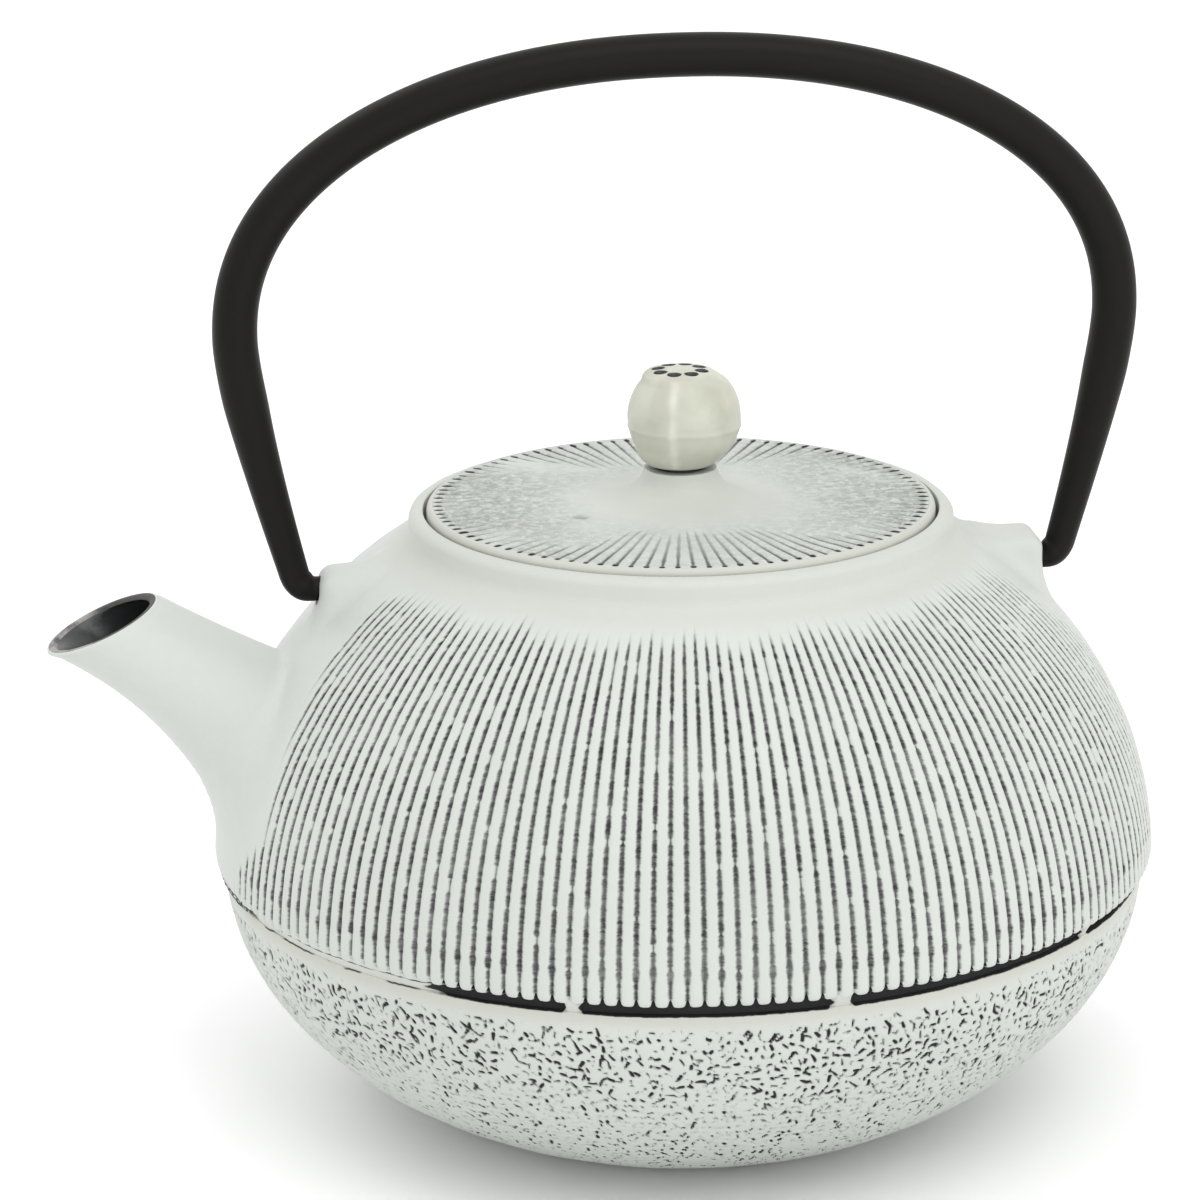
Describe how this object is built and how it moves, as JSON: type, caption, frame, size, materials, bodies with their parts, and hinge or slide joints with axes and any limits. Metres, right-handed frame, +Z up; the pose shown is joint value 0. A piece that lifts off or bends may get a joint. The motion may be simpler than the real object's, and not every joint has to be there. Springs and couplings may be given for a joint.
{
  "type": "teapot",
  "caption": "Ribbed cast iron teapot with a bowed bail handle that swings on two lugs, a drop-in lid with a ball knob, and a lift-out steel mesh infuser.",
  "frame": {"origin": "on the pot's axis, in the plane that the foot ring rests on", "axes": "+Z up along the pot's axis, spout towards -X, hinge axis of the bail along X"},
  "size_m": [0.1921, 0.165, 0.1892],
  "materials": {
    "painted_iron": "white paint over black iron, rubbed back in the grooves",
    "lid_iron": "white paint over black iron, worn in the middle",
    "knob_iron": "cream paint",
    "bail_steel": "satin black",
    "infuser_steel": "satin",
    "screw_steel": "plated"
  },
  "bodies": {
    "pot": {"pot_body": "painted_iron"},
    "bail": {"bail_handle": "bail_steel"},
    "infuser": {"infuser_collar": "infuser_steel", "infuser_mesh": "infuser_steel", "infuser_mesh_floor": "infuser_steel", "infuser_base_ring": "infuser_steel", "infuser_seam_strip": "infuser_steel"},
    "lid": {"lid": "lid_iron", "lid_knob": "knob_iron", "knob_screw": "screw_steel", "knob_washer": "screw_steel"}
  },
  "joints": [
    {"name": "bail_swing", "type": "hinge", "parent": "pot", "child": "bail", "pos_m": [0, 0, 0.0948], "axis": [1, 0, 0], "range_deg": [-110, 110]},
    {"name": "infuser_lift", "type": "slide", "parent": "pot", "child": "infuser", "axis": [0, 0, 1], "range_m": [0, 0.045]},
    {"name": "lid_lift", "type": "slide", "parent": "infuser", "child": "lid", "axis": [0, 0, 1], "range_m": [0, 0.04]}
  ]
}
